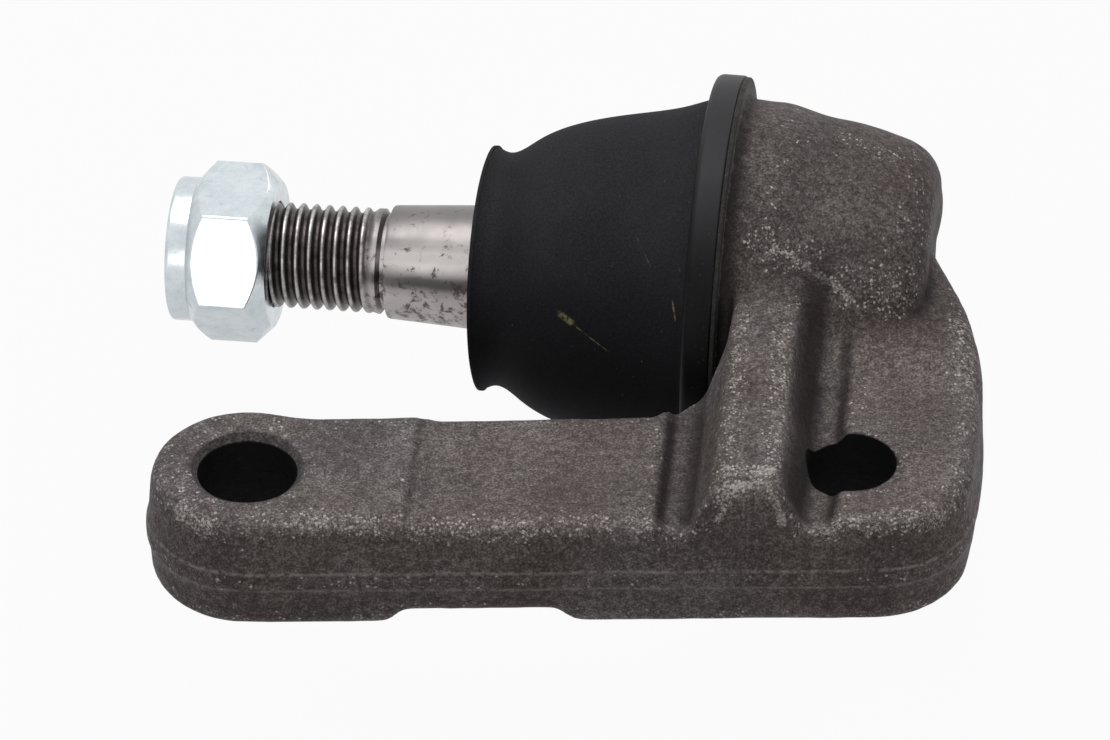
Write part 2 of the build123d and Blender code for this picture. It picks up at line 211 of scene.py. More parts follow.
def cylinderCoords(tree, frameMatrix):
    # x and y across an axis, radius and distance along it, for patterns turned on a lathe
    x, y, z = split(tree, alongAxis(tree, frameMatrix))
    radius = maths(tree, "SQRT", plus(tree, times(tree, x, x), times(tree, y, y)))
    return x, y, radius, z


def latheLines(tree, radius, z, scale, strength, distance):
    ringed = add(tree, "ShaderNodeCombineXYZ", {"X": radius, "Z": z}).outputs[0]
    return bump(tree, noise(tree, ringed, scale, 2, 0.6), strength, distance)


def upward(tree):
    # 1 on faces that look up at rest, 0 on those that look down
    normal = add(tree, "ShaderNodeTexCoord").outputs["Normal"]
    return mapRange(tree, split(tree, normal)["Z"], -0.6, 1.0)


def downward(tree):
    return minus(tree, 1.0, upward(tree))


def seenDirectly(tree):
    # 1 for what the camera sees, also through glass or in metal, and 0 for what lights the object
    path = add(tree, "ShaderNodeLightPath").outputs
    seen = maths(tree, "MAXIMUM", path["Is Camera Ray"], path["Is Transmission Ray"])
    return maths(tree, "MAXIMUM", seen, path["Is Glossy Ray"])


# mesh helpers; profiles are in millimetres
def linkMesh(name, mesh):
    made = bpy.data.objects.new(name, mesh)
    bpy.context.scene.collection.objects.link(made)
    return made


def meshFrom(name, points, faces):
    mesh = bpy.data.meshes.new(name)
    mesh.from_pydata([tuple(p) for p in points], [], [tuple(f) for f in faces])
    mesh.update()
    return mesh


def cleanMesh(mesh, gap=0.00001):
    work = bmesh.new()
    work.from_mesh(mesh)
    bmesh.ops.remove_doubles(work, verts=work.verts, dist=gap)
    loose = [f for f in work.faces if f.calc_area() < 1e-14]
    bmesh.ops.delete(work, geom=loose, context="FACES_ONLY")
    bmesh.ops.recalc_face_normals(work, faces=work.faces)
    work.to_mesh(mesh)
    work.free()


def smoothShade(mesh, angle=35):
    for polygon in mesh.polygons:
        polygon.use_smooth = True
    mesh.set_sharp_from_angle(angle=math.radians(angle))


def evaluatedMesh(made, name):
    graph = bpy.context.evaluated_depsgraph_get()
    mesh = bpy.data.meshes.new_from_object(made.evaluated_get(graph))
    mesh.name = name
    return mesh


def readPoints(mesh):
    points = np.empty(len(mesh.vertices) * 3, np.float32)
    mesh.vertices.foreach_get("co", points)
    return points.reshape(-1, 3).astype(float)


def writePoints(mesh, points):
    mesh.vertices.foreach_set("co", points.astype(np.float32).ravel())
    mesh.update()


def readNormals(mesh):
    normals = np.empty(len(mesh.vertices) * 3, np.float32)
    mesh.vertex_normals.foreach_get("vector", normals)
    return normals.reshape(-1, 3).astype(float)


def moved(points, matrix):
    matrix = np.array(matrix)
    return points @ matrix[:3, :3].T + matrix[:3, 3]


def setAttribute(mesh, name, values):
    attribute = mesh.attributes.get(name) or mesh.attributes.new(name, "FLOAT", "POINT")
    attribute.data.foreach_set("value", np.asarray(values, np.float32))


def lathe(name, profile, frameMatrix, steps=128, closed=True):
    # profile: (radius, distance along) in millimetres; radius 0 makes a pole
    points, rings = [], []
    for radius, along in profile:
        if radius < 1e-6:
            rings.append([len(points)] * steps)
            points.append((0, 0, along))
        else:
            rings.append(list(range(len(points), len(points) + steps)))
            for k in range(steps):
                angle = 2 * math.pi * k / steps
                points.append((radius * math.cos(angle), radius * math.sin(angle), along))
    faces = []
    count = len(rings) if closed else len(rings) - 1
    for i in range(count):
        low, high = rings[i], rings[(i + 1) % len(rings)]
        for k in range(steps):
            n = (k + 1) % steps
            corner = []
            for v in (low[k], low[n], high[n], high[k]):
                if v not in corner:
                    corner.append(v)
            if len(corner) > 2:
                faces.append(corner)
    placed = [frameMatrix @ (Vector(p) * mm) for p in points]
    mesh = meshFrom(name, placed, faces)
    cleanMesh(mesh)
    return mesh


def arc(centre, radius, start, end, steps):
    # points round a centre, from one angle to another in degrees
    return [
        (centre[0] + radius * math.cos(math.radians(a)), centre[1] + radius * math.sin(math.radians(a)))
        for a in np.linspace(start, end, steps)
    ]


def roundedProfile(corners, steps=4):
    # corners: (radius, distance, rounding); every corner gives the same number of points
    out = []
    count = len(corners)
    for i, (x, y, size) in enumerate(corners):
        here = np.array((x, y), float)
        before = np.array(corners[i - 1][:2], float) - here
        after = np.array(corners[(i + 1) % count][:2], float) - here
        if not size:
            out.append(tuple(here))
            continue
        room = 0.45 * min(np.linalg.norm(before), np.linalg.norm(after))
        before /= max(np.linalg.norm(before), 1e-9)
        after /= max(np.linalg.norm(after), 1e-9)
        half = math.acos(max(-1, min(1, float(before @ after)))) / 2
        reach = min(size / max(math.tan(half), 1e-6), room)
        first, last = here + before * reach, here + after * reach
        for t in np.linspace(0, 1, steps):
            out.append(tuple((1 - t) ** 2 * first + 2 * t * (1 - t) * here + t * t * last))
    return out


def spline(knots, steps):
    # natural cubic through the knots, by chord length
    knots = np.array(knots, float)
    t = np.concatenate([[0], np.cumsum(np.linalg.norm(np.diff(knots, axis=0), axis=1))])
    n = len(t)
    system = np.zeros((n, n))
    right = np.zeros((n, 2))
    h = np.diff(t)
    system[0, 0] = system[-1, -1] = 1
    for i in range(1, n - 1):
        system[i, i - 1:i + 2] = h[i - 1], 2 * (h[i - 1] + h[i]), h[i]
        right[i] = 6 * ((knots[i + 1] - knots[i]) / h[i] - (knots[i] - knots[i - 1]) / h[i - 1])
    bend = np.linalg.solve(system, right)
    out = []
    for s in np.linspace(0, t[-1], steps):
        i = min(np.searchsorted(t, s, side="right") - 1, n - 2)
        a, b = t[i + 1] - s, s - t[i]
        out.append(
            bend[i] * a**3 / (6 * h[i]) + bend[i + 1] * b**3 / (6 * h[i])
            + (knots[i] / h[i] - bend[i] * h[i] / 6) * a
            + (knots[i + 1] / h[i] - bend[i + 1] * h[i] / 6) * b
        )
    return [tuple(p) for p in out]


print("stage: helpers ready")

# camera
view = {
    "place": Vector((10.583, -879.526, 707.989)) * mm,
    "turn": 1.5,
    "tilt": 38.0,
    "lens": 333.83,
}
turn, tilt = math.radians(view["turn"]), math.radians(view["tilt"])
look = Vector((math.sin(turn) * math.cos(tilt), math.cos(turn) * math.cos(tilt), -math.sin(tilt)))
right = Vector((math.cos(turn), -math.sin(turn), 0))
camera = bpy.data.cameras.new("camera")
camera.lens = view["lens"]
camera.sensor_width = 36
cameraObject = bpy.data.objects.new("camera", camera)
axes = Matrix((right, right.cross(look), -look)).transposed().to_4x4()
cameraObject.matrix_world = Matrix.Translation(view["place"]) @ axes
bpy.context.scene.collection.objects.link(cameraObject)
bpy.context.scene.camera = cameraObject
bpy.context.scene.view_settings.view_transform = "Standard"
print("stage: camera placed")

# world, floor and lamps
studio = {
    "worldTop": 0.7,
    "worldLow": 0.03,
    "floorColour": (0.34, 0.34, 0.34),
    "floorLift": 0.95,
    "floorDrop": 0.4,
    "floorSize": 3.0,
}
world = bpy.data.worlds.new("softStudio")
bpy.context.scene.world = world
world.use_nodes = True
tree = world.node_tree
background = next(node for node in tree.nodes if node.type == "BACKGROUND")
output = next(node for node in tree.nodes if node.type == "OUTPUT_WORLD")
height = split(tree, add(tree, "ShaderNodeTexCoord").outputs["Generated"])["Z"]
sky = ramp(tree, height, [(0.0, studio["worldLow"]), (0.75, studio["worldTop"])], "EASE")
tree.links.new(sky, background.inputs["Color"])
plain = add(tree, "ShaderNodeBackground", {"Color": (1, 1, 1, 1), "Strength": 1.0})
blendWorld = add(tree, "ShaderNodeMixShader", {
    0: seenDirectly(tree), 1: background.outputs[0], 2: plain.outputs[0]})
tree.links.new(blendWorld.outputs[0], output.inputs["Surface"])

low = cadBox[0][2] - studio["floorDrop"] * mm
half = studio["floorSize"] / 2
floor = linkMesh("studioFloor", meshFrom("studioFloor", [
    (-half, -half, low), (half, -half, low), (half, half, low), (-half, half, low)], [(0, 1, 2, 3)]))
floorMaterial, tree, shader = newMaterial("paleFloor")
for name, value in {"Base Color": (*studio["floorColour"], 1), "Roughness": 0.9, "Specular IOR Level": 0.1}.items():
    shader.inputs[name].default_value = value
white = add(tree, "ShaderNodeEmission", {"Color": (1, 1, 1, 1), "Strength": 1.0})
share = times(tree, seenDirectly(tree), studio["floorLift"])
blendFloor = add(tree, "ShaderNodeMixShader", {0: share, 1: shader.outputs[0], 2: white.outputs[0]})
output = next(node for node in tree.nodes if node.type == "OUTPUT_MATERIAL")
tree.links.new(blendFloor.outputs[0], output.inputs["Surface"])
floor.data.materials.append(floorMaterial)

lamps = {
    "overhead": {"at": (-0.15, 0.24, 0.86), "aim": (0.04, 0.03, 0), "size": 0.6, "power": 4.2},
    "frontSoftbox": {"at": (-0.32, -0.82, 0.33), "aim": (-0.01, 0.05, 0), "size": 0.36, "power": 0.62},
    "backRight": {"at": (0.5, 0.8, 0.3), "aim": (0.08, 0.04, 0), "size": 0.3, "power": 0.5},
}
for name, lamp in lamps.items():
    light = bpy.data.lights.new(name, "AREA")
    light.shape = "SQUARE"
    light.size = lamp["size"]
    light.energy = lamp["power"]
    lit = bpy.data.objects.new(name, light)
    lit.location = lamp["at"]
    lit.rotation_euler = (Vector(lamp["aim"]) - Vector(lamp["at"])).to_track_quat("-Z", "Y").to_euler()
    bpy.context.scene.collection.objects.link(lit)
print("stage: studio lit")


# finishes: each mixes its tones from noise, from how a face looks and from the piece's own attributes
def dress(tree, shader, colour, roughness, normal, levels):
    for name, value in {"Base Color": colour, "Roughness": roughness, "Normal": normal, **levels}.items():
        feed(tree, shader.inputs[name], value)


def forgedFinish():
    material, tree, shader = newMaterial("phosphatedForging")
    coords = objectCoords(tree)
    grain = noise(tree, coords, 3600, 2, 0.75)
    patch = noise(tree, coords, 1100, 3, 0.7)
    cloud = noise(tree, coords, 110, 3, 0.55)
    mottle = weighted(tree, (grain, 0.65), (patch, 0.35), (cloud, 0.2))
    base = ramp(tree, mottle, [
        (0.44, (0.036, 0.029, 0.0275)), (0.6, (0.092, 0.081, 0.08)), (0.76, (0.24, 0.222, 0.22))])
    # worn edges and scratches break up into bright specks
    drift = ramp(tree, noise(tree, coords, 320, 3, 0.65), [(0.38, 0.15), (0.62, 1.0)])
    worn = times(tree, readAttribute(tree, "wear"), drift)
    worn = weighted(tree, (worn, 0.6), (readAttribute(tree, "scratch"), 0.75))
    # cells of uneven outline: each has its own chance of being worn and its own size of dot
    shaken = add(tree, "ShaderNodeTexNoise", {"Vector": coords, "Scale": 2600.0, "Detail": 2.0}).outputs["Color"]
    shaken = add(tree, "ShaderNodeVectorMath", {0: shaken, "Scale": 0.0005}, operation="SCALE").outputs[0]
    shaken = vectorMaths(tree, "ADD", coords, shaken)
    cells = add(tree, "ShaderNodeTexVoronoi", {"Vector": shaken, "Scale": 2500.0}).outputs
    chance, smaller = add(tree, "ShaderNodeSeparateColor", {"Color": cells["Color"]}).outputs[:2]
    dots = ramp(tree, weighted(tree, (cells["Distance"], 1), (smaller, 0.3)), [(0.32, 1.0), (0.6, 0.0)])
    dots = times(tree, dots, maths(tree, "GREATER_THAN", worn, plus(tree, chance, 0.05)))
    level = weighted(tree, (worn, 0.2), (noise(tree, coords, 2900, 3, 0.85), 1))
    specks = ramp(tree, level, [(0.66, 0.0), (0.8, 0.75)])
    bright = maths(tree, "MAXIMUM", specks, times(tree, dots, 0.8))
    rust = ramp(tree, noise(tree, coords, 45, 4, 0.6), [(0.42, 0.0), (0.62, 0.5)])
    base = mix(tree, rust, base, (0.92, 0.8, 0.74), "MULTIPLY")
    # a darker, browner tint on most of the cup, and less of it on the steep sides
    base = mix(tree, readAttribute(tree, "darkerTint"), base, (0.5, 0.44, 0.42), "MULTIPLY")
    colour = mix(tree, bright, base, (0.46, 0.435, 0.41))
    # the trimmed flash leaves two faint lines round the plate
    wander = times(tree, minus(tree, noise(tree, coords, 90, 2, 0.5), 0.5), 0.5 * mm)
    height = plus(tree, split(tree, coords)["Z"], wander)
    lines = []
    for at, share in ((1.2, 1.0), (-1.0, 0.75)):
        off = maths(tree, "DIVIDE", maths(tree, "ABSOLUTE", minus(tree, height, at * mm)), mm)
        lines.append(times(tree, ramp(tree, off, [(0.05, 1.0), (0.3, 0.0)]), share))
    flash = times(tree, maths(tree, "MAXIMUM", *lines), readAttribute(tree, "side"))
    gaps = ramp(tree, noise(tree, coords, 1300, 3, 0.75), [(0.4, 0.05), (0.58, 0.95)])
    colour = mix(tree, times(tree, flash, gaps), colour, (0.21, 0.19, 0.182))
    # painted shade in hollows, in the rib's flanks and in the gap under the flange
    hollowShade = maths(tree, "MULTIPLY", readAttribute(tree, "hollowShade"), 0.85, clamp=True)
    colour = mix(tree, hollowShade, colour, (0.016, 0.0125, 0.012))
    # painted shade on the walls of the holes
    colour = mix(tree, readAttribute(tree, "bore"), colour, (0.004, 0.0035, 0.0035))
    skin = bump(tree, patch, 0.45, 0.00018, bump(tree, grain, 0.5, 0.00008))
    dress(tree, shader, colour, ramp(tree, patch, [(0.3, 0.72), (0.7, 0.56)]), bump(tree, flash, 0.6, 0.00012, skin),
          {"Metallic": 0.2, "Specular IOR Level": 0.14})
    return material


# short strokes left on the boot: two ends and a facing direction in mm, width, colour
bootScuffs = (
    ((34.4, 29.7, 6.1), (40.6, 25.9, 2.6), (-0.4, -0.86, 0.3), 0.07, (0.16, 0.14, 0.08)),
    ((34.7, 29.4, 5.8), (36.6, 28.3, 4.9), (-0.44, -0.82, 0.38), 0.3, (0.22, 0.2, 0.09)),
    ((43.4, 31.8, 14.6), (45.2, 29.0, 12.0), (-0.34, -0.54, 0.77), 0.08, (0.07, 0.06, 0.05)),
    ((47.6, 26.6, 9.6), (47.9, 25.0, 7.6), (-0.2, -0.8, 0.5), 0.09, (0.2, 0.15, 0.1)),
)


def strokeMask(tree, coords, start, end, facing, width):
    # 1 inside one stroke; what lies far behind it, on the boot's other side, stays clean
    start, end, facing = (Vector(v) for v in (start, end, facing))
    run = (end - start).normalized()
    flank = run.cross(facing).normalized()
    offset = vectorMaths(tree, "SUBTRACT", coords, tuple(start * mm))
    along, aside, front = (
        vectorMaths(tree, "DOT_PRODUCT", offset, tuple(axis), "Value")
        for axis in (run, flank, facing.normalized()))
    length = (end - start).length * mm
    middle = maths(tree, "ABSOLUTE", minus(tree, along, length / 2))
    inLength = mapRange(tree, middle, length / 2, length * 0.3)
    inWidth = mapRange(tree, maths(tree, "ABSOLUTE", aside), width * 1.6 * mm, width * 0.6 * mm)
    outside = maths(tree, "GREATER_THAN", front, -3.0 * mm)
    return times(tree, times(tree, inLength, inWidth), outside)


def rubberFinish():
    # black, with a painted sheen on what looks up, a lighter tone on what looks down, and pale flecks of dust
    material, tree, shader = newMaterial("mouldedRubber")
    coords = objectCoords(tree)
    haze = noise(tree, coords, 70, 4, 0.6)
    grain = noise(tree, coords, 4200, 2, 0.75)
    tone = weighted(tree, (haze, 0.4), (grain, 0.6))
    clean = ramp(tree, tone, [(0.35, (0.0062, 0.006, 0.0068)), (0.7, (0.0145, 0.0141, 0.0157))])
    sheenTone = ramp(tree, tone, [(0.35, (0.016, 0.0155, 0.019)), (0.7, (0.042, 0.0405, 0.046))])
    # painted sheen on faces that look up, and a lighter tone on faces that look down
    paintedSheen = ramp(tree, upward(tree), [(0.0, 0.55), (0.3, 0.0), (1.0, 0.8)], "EASE")
    flecks = ramp(tree, noise(tree, coords, 1900, 2, 0.6), [(0.725, 0.0), (0.78, 0.6)])
    colour = mix(tree, flecks, mix(tree, paintedSheen, clean, sheenTone), (0.13, 0.12, 0.1))
    broken = ramp(tree, noise(tree, coords, 1500, 3, 0.7), [(0.42, 0.1), (0.6, 0.9)])
    for start, end, facing, width, tint in bootScuffs:
        scuff = strokeMask(tree, coords, start, end, facing, width)
        colour = mix(tree, times(tree, scuff, broken), colour, tint)
    dress(tree, shader, colour, ramp(tree, haze, [(0.3, 0.7), (0.7, 0.8)]), bump(tree, grain, 0.25, 0.00005),
          {"Specular IOR Level": 0.045})
    return material


def steelFinish(name, colour, roughness, dirt, lines, around):
    # bare metal: lathe lines round an axis, stains, uneven gloss
    material, tree, shader = newMaterial(name)
    coords = objectCoords(tree)
    cloud = noise(tree, coords, 140, 3, 0.6)
    base = ramp(tree, cloud, [(0.35, shaded(colour, 0.8)), (0.65, colour)])
    stain = ramp(tree, noise(tree, coords, 400, 5, 0.68, 0.8), [(0.52, 0.0), (0.64, dirt)])
    radius, z = cylinderCoords(tree, around)[2:]
    dress(tree, shader, mix(tree, stain, base, shaded(colour, 0.14)),
          ramp(tree, cloud, [(0.3, roughness + 0.08), (0.7, roughness - 0.04)]),
          latheLines(tree, radius, z, 5200, lines, 0.00003), {"Metallic": 1.0})
    return material


def zincFinish():
    # pale blue passivation, clouded on every facet
    material, tree, shader = newMaterial("brightZinc")
    coords = objectCoords(tree)
    cloud = noise(tree, coords, 420, 5, 0.75)
    tone = weighted(tree, (cloud, 0.7), (noise(tree, coords, 90, 2, 0.5), 0.3))
    base = ramp(tree, tone, [(0.36, (0.53, 0.58, 0.61)), (0.52, (0.65, 0.71, 0.74)), (0.68, (0.77, 0.82, 0.84))])
    # painted shade on the facets that look down
    shadeBelow = times(tree, downward(tree), 0.42)
    grime = ramp(tree, noise(tree, coords, 700, 5, 0.7, 0.8), [(0.6, 0.0), (0.7, 0.35)])
    colour = mix(tree, grime, mix(tree, shadeBelow, base, (0.27, 0.29, 0.3)), (0.16, 0.16, 0.165))
    dress(tree, shader, colour, ramp(tree, cloud, [(0.35, 0.26), (0.65, 0.17)]), bump(tree, cloud, 0.2, 0.00004),
          {"Metallic": 1.0})
    return material


def paintedFinish():
    # black, with a painted sheen where it faces up and a few rubbed specks on the rim
    material, tree, shader = newMaterial("blackenedRing")
    coords = objectCoords(tree)
    cloud = noise(tree, coords, 260, 4, 0.65)
    clean = ramp(tree, cloud, [(0.35, (0.0028, 0.0027, 0.003)), (0.7, (0.006, 0.0057, 0.0064))])
    # painted sheen on faces that look up
    paintedSheen = ramp(tree, upward(tree), [(0.7, 0.0), (1.0, 0.9)], "EASE")
    rubbed = weighted(tree, (noise(tree, coords, 3200, 3, 0.7), 1), (readAttribute(tree, "wear"), 0.06))
    specks = ramp(tree, rubbed, [(0.7, 0.0), (0.84, 0.7)])
    colour = mix(tree, specks, mix(tree, paintedSheen, clean, (0.034, 0.0325, 0.0355)), (0.12, 0.11, 0.11))
    dress(tree, shader, colour, ramp(tree, cloud, [(0.3, 0.5), (0.7, 0.4)]), bump(tree, cloud, 0.2, 0.0001),
          {"Specular IOR Level": 0.1})
    return material


def plasticFinish(name, colour, roughness=0.4):
    material, tree, shader = newMaterial(name)
    cloud = noise(tree, objectCoords(tree), 400, 3, 0.5)
    base = ramp(tree, cloud, [(0.3, shaded(colour, 0.9)), (0.7, colour)])
    dress(tree, shader, base, roughness, bump(tree, cloud, 0.1, 0.0001),
          {"Subsurface Weight": 0.1, "Subsurface Scale": 0.001})
    return material


# painted reflection bands on the ground shaft by the angle round it, in degrees: light and dark streaks run along it
shaftReflectionBands = (
    (-180, 0.34), (-90, 0.36), (-21, 0.4), (2, 0.43), (10, 0.33), (15, 0.14), (22, 0.14), (30, 0.36),
    (37, 0.57), (48, 0.54), (54, 0.32), (60, 0.21), (66, 0.235), (78, 0.235), (95, 0.23), (180, 0.32))


def studFinish():
    # ground taper with painted reflection bands, dark oily thread with lighter crests
    material, tree, shader = newMaterial("groundStud")
    coords = objectCoords(tree)
    x, y, radius, z = cylinderCoords(tree, studFrame)
    cloud = noise(tree, coords, 160, 3, 0.6)
    around = maths(tree, "ARCTAN2", times(tree, y, -1.0), times(tree, x, -1.0))
    around = maths(tree, "DEGREES", around)
    wander = times(tree, minus(tree, noise(tree, coords, 170, 3, 0.6), 0.5), 9.0)
    share = maths(tree, "DIVIDE", plus(tree, plus(tree, around, wander), 180.0), 360.0)
    # painted reflection bands, set by the angle round the shaft and wobbled by noise
    ground = ramp(tree, share, [
        ((angle + 180) / 360, (level, level * 0.93, level * 0.92)) for angle, level in shaftReflectionBands])
    ground = mix(tree, ramp(tree, cloud, [(0.35, 0.82), (0.65, 1.0)]), (0.0, 0.0, 0.0), ground)
    marks = weighted(tree, (noise(tree, coords, 700, 5, 0.74, 0.5), 1), (downward(tree), 0.1))
    ground = mix(tree, ramp(tree, marks, [(0.58, 0.0), (0.66, 0.9)]), ground, (0.07, 0.055, 0.05))
    oily = ramp(tree, noise(tree, coords, 900, 4, 0.7), [(0.35, (0.03, 0.024, 0.024)), (0.7, (0.1, 0.085, 0.085))])
    patchy = ramp(tree, noise(tree, coords, 700, 4, 0.7), [(0.35, 0.25), (0.6, 1.0)])
    # lighter on the thread's crests, set by radius
    crest = times(tree, mapRange(tree, radius, 5.76 * mm, 5.95 * mm), patchy)
    thread = mix(tree, crest, oily, (0.46, 0.43, 0.43))
    colour = mix(tree, mapRange(tree, z, 46.9 * mm, 48.6 * mm), ground, thread)
    dress(tree, shader, colour, ramp(tree, cloud, [(0.3, 0.42), (0.7, 0.32)]),
          latheLines(tree, radius, z, 4200, 0.3, 0.00004), {"Metallic": 0.92})
    return material


finishes = {
    "forging": forgedFinish(),
    "rubber": rubberFinish(),
    "ring": paintedFinish(),
    "zinc": zincFinish(),
    "stud": studFinish(),
    "nylon": plasticFinish("naturalNylon", (0.82, 0.8, 0.72)),
    "seat": plasticFinish("naturalAcetal", (0.76, 0.74, 0.66), 0.3),
    "spring": steelFinish("oiledSpringSteel", (0.36, 0.35, 0.34), 0.35, 0.3, 0.3, cupFrame),
    "closing": steelFinish("pressedSteel", (0.4, 0.39, 0.38), 0.38, 0.3, 0.3, cupFrame),
    "wire": steelFinish("oiledSpringWire", (0.33, 0.33, 0.34), 0.35, 0.2, 0.2, studFrame),
}
print("stage: finishes ready")


def finishMesh(mesh, finish):
    mesh.materials.clear()
    mesh.materials.append(finishes[finish])


def finishPiece(name, mesh, finish, body, replaced, angle=35):
    finishMesh(mesh, finish)
    smoothShade(mesh, angle)
    made = linkMesh(name, mesh)
    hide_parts(replaced)
    if body:
        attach(made, body)
    return made


# forged housing: the CAD solid with forging fillets, a rolled skin and clean bores
housing = {
    "voxel": 0.46,
    "cupRadius": 21.0,
    # turned faces that stay sharp: in front of a distance along the cup's axis and within a radius, and the bore
    "turnedFrom": 4.6, "turnedRadius": 24.5, "boreRadius": 18.5, "boreBack": -13.6,
    # fillets: how far from the cup's wall they start, and how far behind the mouth and how high they keep their size
    "filletReach": 5.5, "filletPasses": 90, "filletPull": 0.9, "filletBack": -16.5, "filletTop": 11.9,
    "softPasses": 6,
    # the cup's closed end is fuller and rounder
    "bulge": 0.75, "bulgeFrom": -2.0, "bulgePasses": 14,
    # the rolled skin: height and grain of each layer of noise
    "skinHeights": ((0.055, 4.0), (0.03, 1.4)),
    "eye": {"at": (0.0, 0.0), "radius": 5.5, "chamfer": 0.68, "top": 7.8, "bottom": -6.8},
    "locating": {"at": (66.0, 0.0), "radius": 5.0, "chamfer": 0.0, "top": 13.0, "bottom": -6.8},
    "flange": {"from": 6.35, "to": 6.9, "radius": 23.35, "inner": 21.3, "takenBack": 22.6},
    "ribAt": 55.2, "lean": 6.5,
    # flanks of the rib and its valleys, painted in shade and cut a little deeper: offset across the rib, half-width,
    # strength, back end
    "flanks": (
        (-36.7, 0.55, 0.5, 12), (-9.3, 0.85, 1.0, 12), (-6.5, 0.95, 0.85, 16), (5.3, 1.7, 1.0, 29),
        (9.0, 0.8, 0.9, 24)),
    "flankCut": 0.35,
    "valleys": (-7.9, 7.6), "valleyHalf": 0.9,
    # places rubbed bright: points of a line, reach, strength
    "rubs": (
        (((58.7, 27.6, 15.7), (61.5, 26.9, 14.3), (65.4, 25.6, 11.9), (67.0, 24.8, 10.4)), 0.3, 1.3),
        (((57.9, 27.9, 16.1), (61.8, 27.6, 13.6)), 1.7, 0.5),
        (((67.6, 25.7, 11.6), (71.5, 25.5, 10.2)), 1.9, 0.55),
        (((67.0, 43.6, 18.4), (72.0, 41.0, 17.3)), 0.9, 0.4),
        (((51.0, -10.7, 8.0), (52.4, -9.9, 10.6), (53.2, -9.2, 11.5), (56.3, -9.2, 11.5), (57.1, -9.9, 10.6),
          (58.0, -10.8, 7.9)), 0.35, 1.2),
        (((52.2, -7.5, 12.3), (56.7, -7.6, 12.3)), 0.6, 0.9),
        (((52.2, -7.5, 12.3), (51.6, -9.9, 10.0)), 0.7, 0.7),
        (((-7.3, -6.4, 7.1), (-4.6, -8.9, 6.3)), 0.8, 1.0),
        (((3.5, -9.0, 7.5), (16.5, -9.9, 7.0), (33.9, -9.7, 6.8), (45.0, -10.4, 6.6)), 0.9, 0.38),
        (((62.5, -10.6, 6.9), (71.0, -9.9, 6.8), (75.3, -8.5, 5.7)), 0.8, 0.55),
        (((54.7, 16.2, 12.4), (53.0, -5.9, 12.4)), 0.7, 0.35),
        (((58.6, 16.2, 12.4), (57.4, -5.9, 12.3)), 0.8, 0.35),
        (((79.2, 23.5, 6.9), (79.1, 10.7, 7.1)), 0.9, 0.35),
    ),
}


def meshEdges(mesh):
    # pairs of joined points, and how many neighbours each point has
    edges = np.empty(len(mesh.edges) * 2, np.int32)
    mesh.edges.foreach_get("vertices", edges)
    edges = edges.reshape(-1, 2)
    return edges, np.bincount(edges.ravel(), minlength=len(mesh.vertices)).astype(float)


def neighbourMean(values, edges, weight):
    total = np.zeros_like(values)
    for axis in range(values.shape[1]):
        total[:, axis] += np.bincount(edges[:, 0], values[edges[:, 1], axis], len(values))
        total[:, axis] += np.bincount(edges[:, 1], values[edges[:, 0], axis], len(values))
    return total / weight[:, None]


def relax(points, edges, weight, share, strength, passes):
    for turn in range(passes):
        points = points + (neighbourMean(points, edges, weight) - points) * share * strength
    return points


def skinNoise(points, size, seed=5):
    # smooth value noise on a lattice, from a fixed seed
    lattice = np.random.default_rng(seed).uniform(-1, 1, (64, 64, 64))
    where = points / (size * mm) + 17.3
    base = np.floor(where).astype(int)
    part = where - base
    part = part * part * (3 - 2 * part)
    total = np.zeros(len(points))
    for corner in range(8):
        offset = np.array([corner & 1, corner >> 1 & 1, corner >> 2 & 1])
        share = np.prod(np.where(offset, part, 1 - part), axis=1)
        cell = (base + offset) % 64
        total += share * lattice[cell[:, 0], cell[:, 1], cell[:, 2]]
    return total


def holeCutter(hole, name):
    r, c, top, bottom = hole["radius"], hole["chamfer"], hole["top"], hole["bottom"]
    over = 3.0
    profile = [(0, bottom - over), (r + c + over if c else r, bottom - over)]
    profile += [(r, bottom + c), (r, bottom + c + 0.25), (r, top - c - 0.25), (r, top - c)] if c else []
    profile += [(r + c + over if c else r, top + over), (0, top + over)]
    place = Matrix.Translation(Vector((*hole["at"], 0)) * mm)
    return linkMesh(name, lathe(name, profile, place, 96, closed=False))


def nearLine(points, line, reach):
    # 1 within reach of the line, falling to 0 at twice that
    nearest = np.full(len(points), 1e9)
    for a, b in zip(line[:-1], line[1:]):
        a, b = np.array(a) * mm, np.array(b) * mm
        t = np.clip((points - a) @ (b - a) / ((b - a) @ (b - a)), 0, 1)
        nearest = np.minimum(nearest, np.linalg.norm(points - a - t[:, None] * (b - a), axis=1) / mm)
    return np.clip(2 - nearest / reach, 0, 1)


def acrossRib(points):
    # offset across the leaning rib, and the coordinates along and above it, in millimetres
    lean = math.radians(housing["lean"])
    x, y, z = (points / mm).T
    return (x - housing["ribAt"]) * math.cos(lean) - y * math.sin(lean), y, z


def flankShare(points, normals):
    # how far each point lies in a flank beside the rib, where shade is painted
    across, y, z = acrossRib(points)
    share = np.zeros(len(points))
    for at, half, strength, back in housing["flanks"]:
        band = np.clip(1.25 - np.abs(across - at) / half, 0, 1)
        ends = np.clip((y + 10.6) / 2.2, 0, 1) * np.clip((back - y) / 4.0, 0, 1)
        share = np.maximum(share, strength * band * band * (3 - 2 * band) * ends)
    return share * np.clip((z - 4.0) / 1.0, 0, 1) * np.clip(normals[:, 2] * 3, 0, 1)


def valleyFloor(points):
    # 1 on the floors of the valleys, which get less painted shade than their flanks
    across, y, z = acrossRib(points)
    left, right = (np.clip(1.3 - np.abs(across - at) / housing["valleyHalf"], 0, 1) for at in housing["valleys"])
    return np.maximum(left, right) * (z > 4) * (z < 8.5) * np.clip((25 - y) / 3, 0, 1)


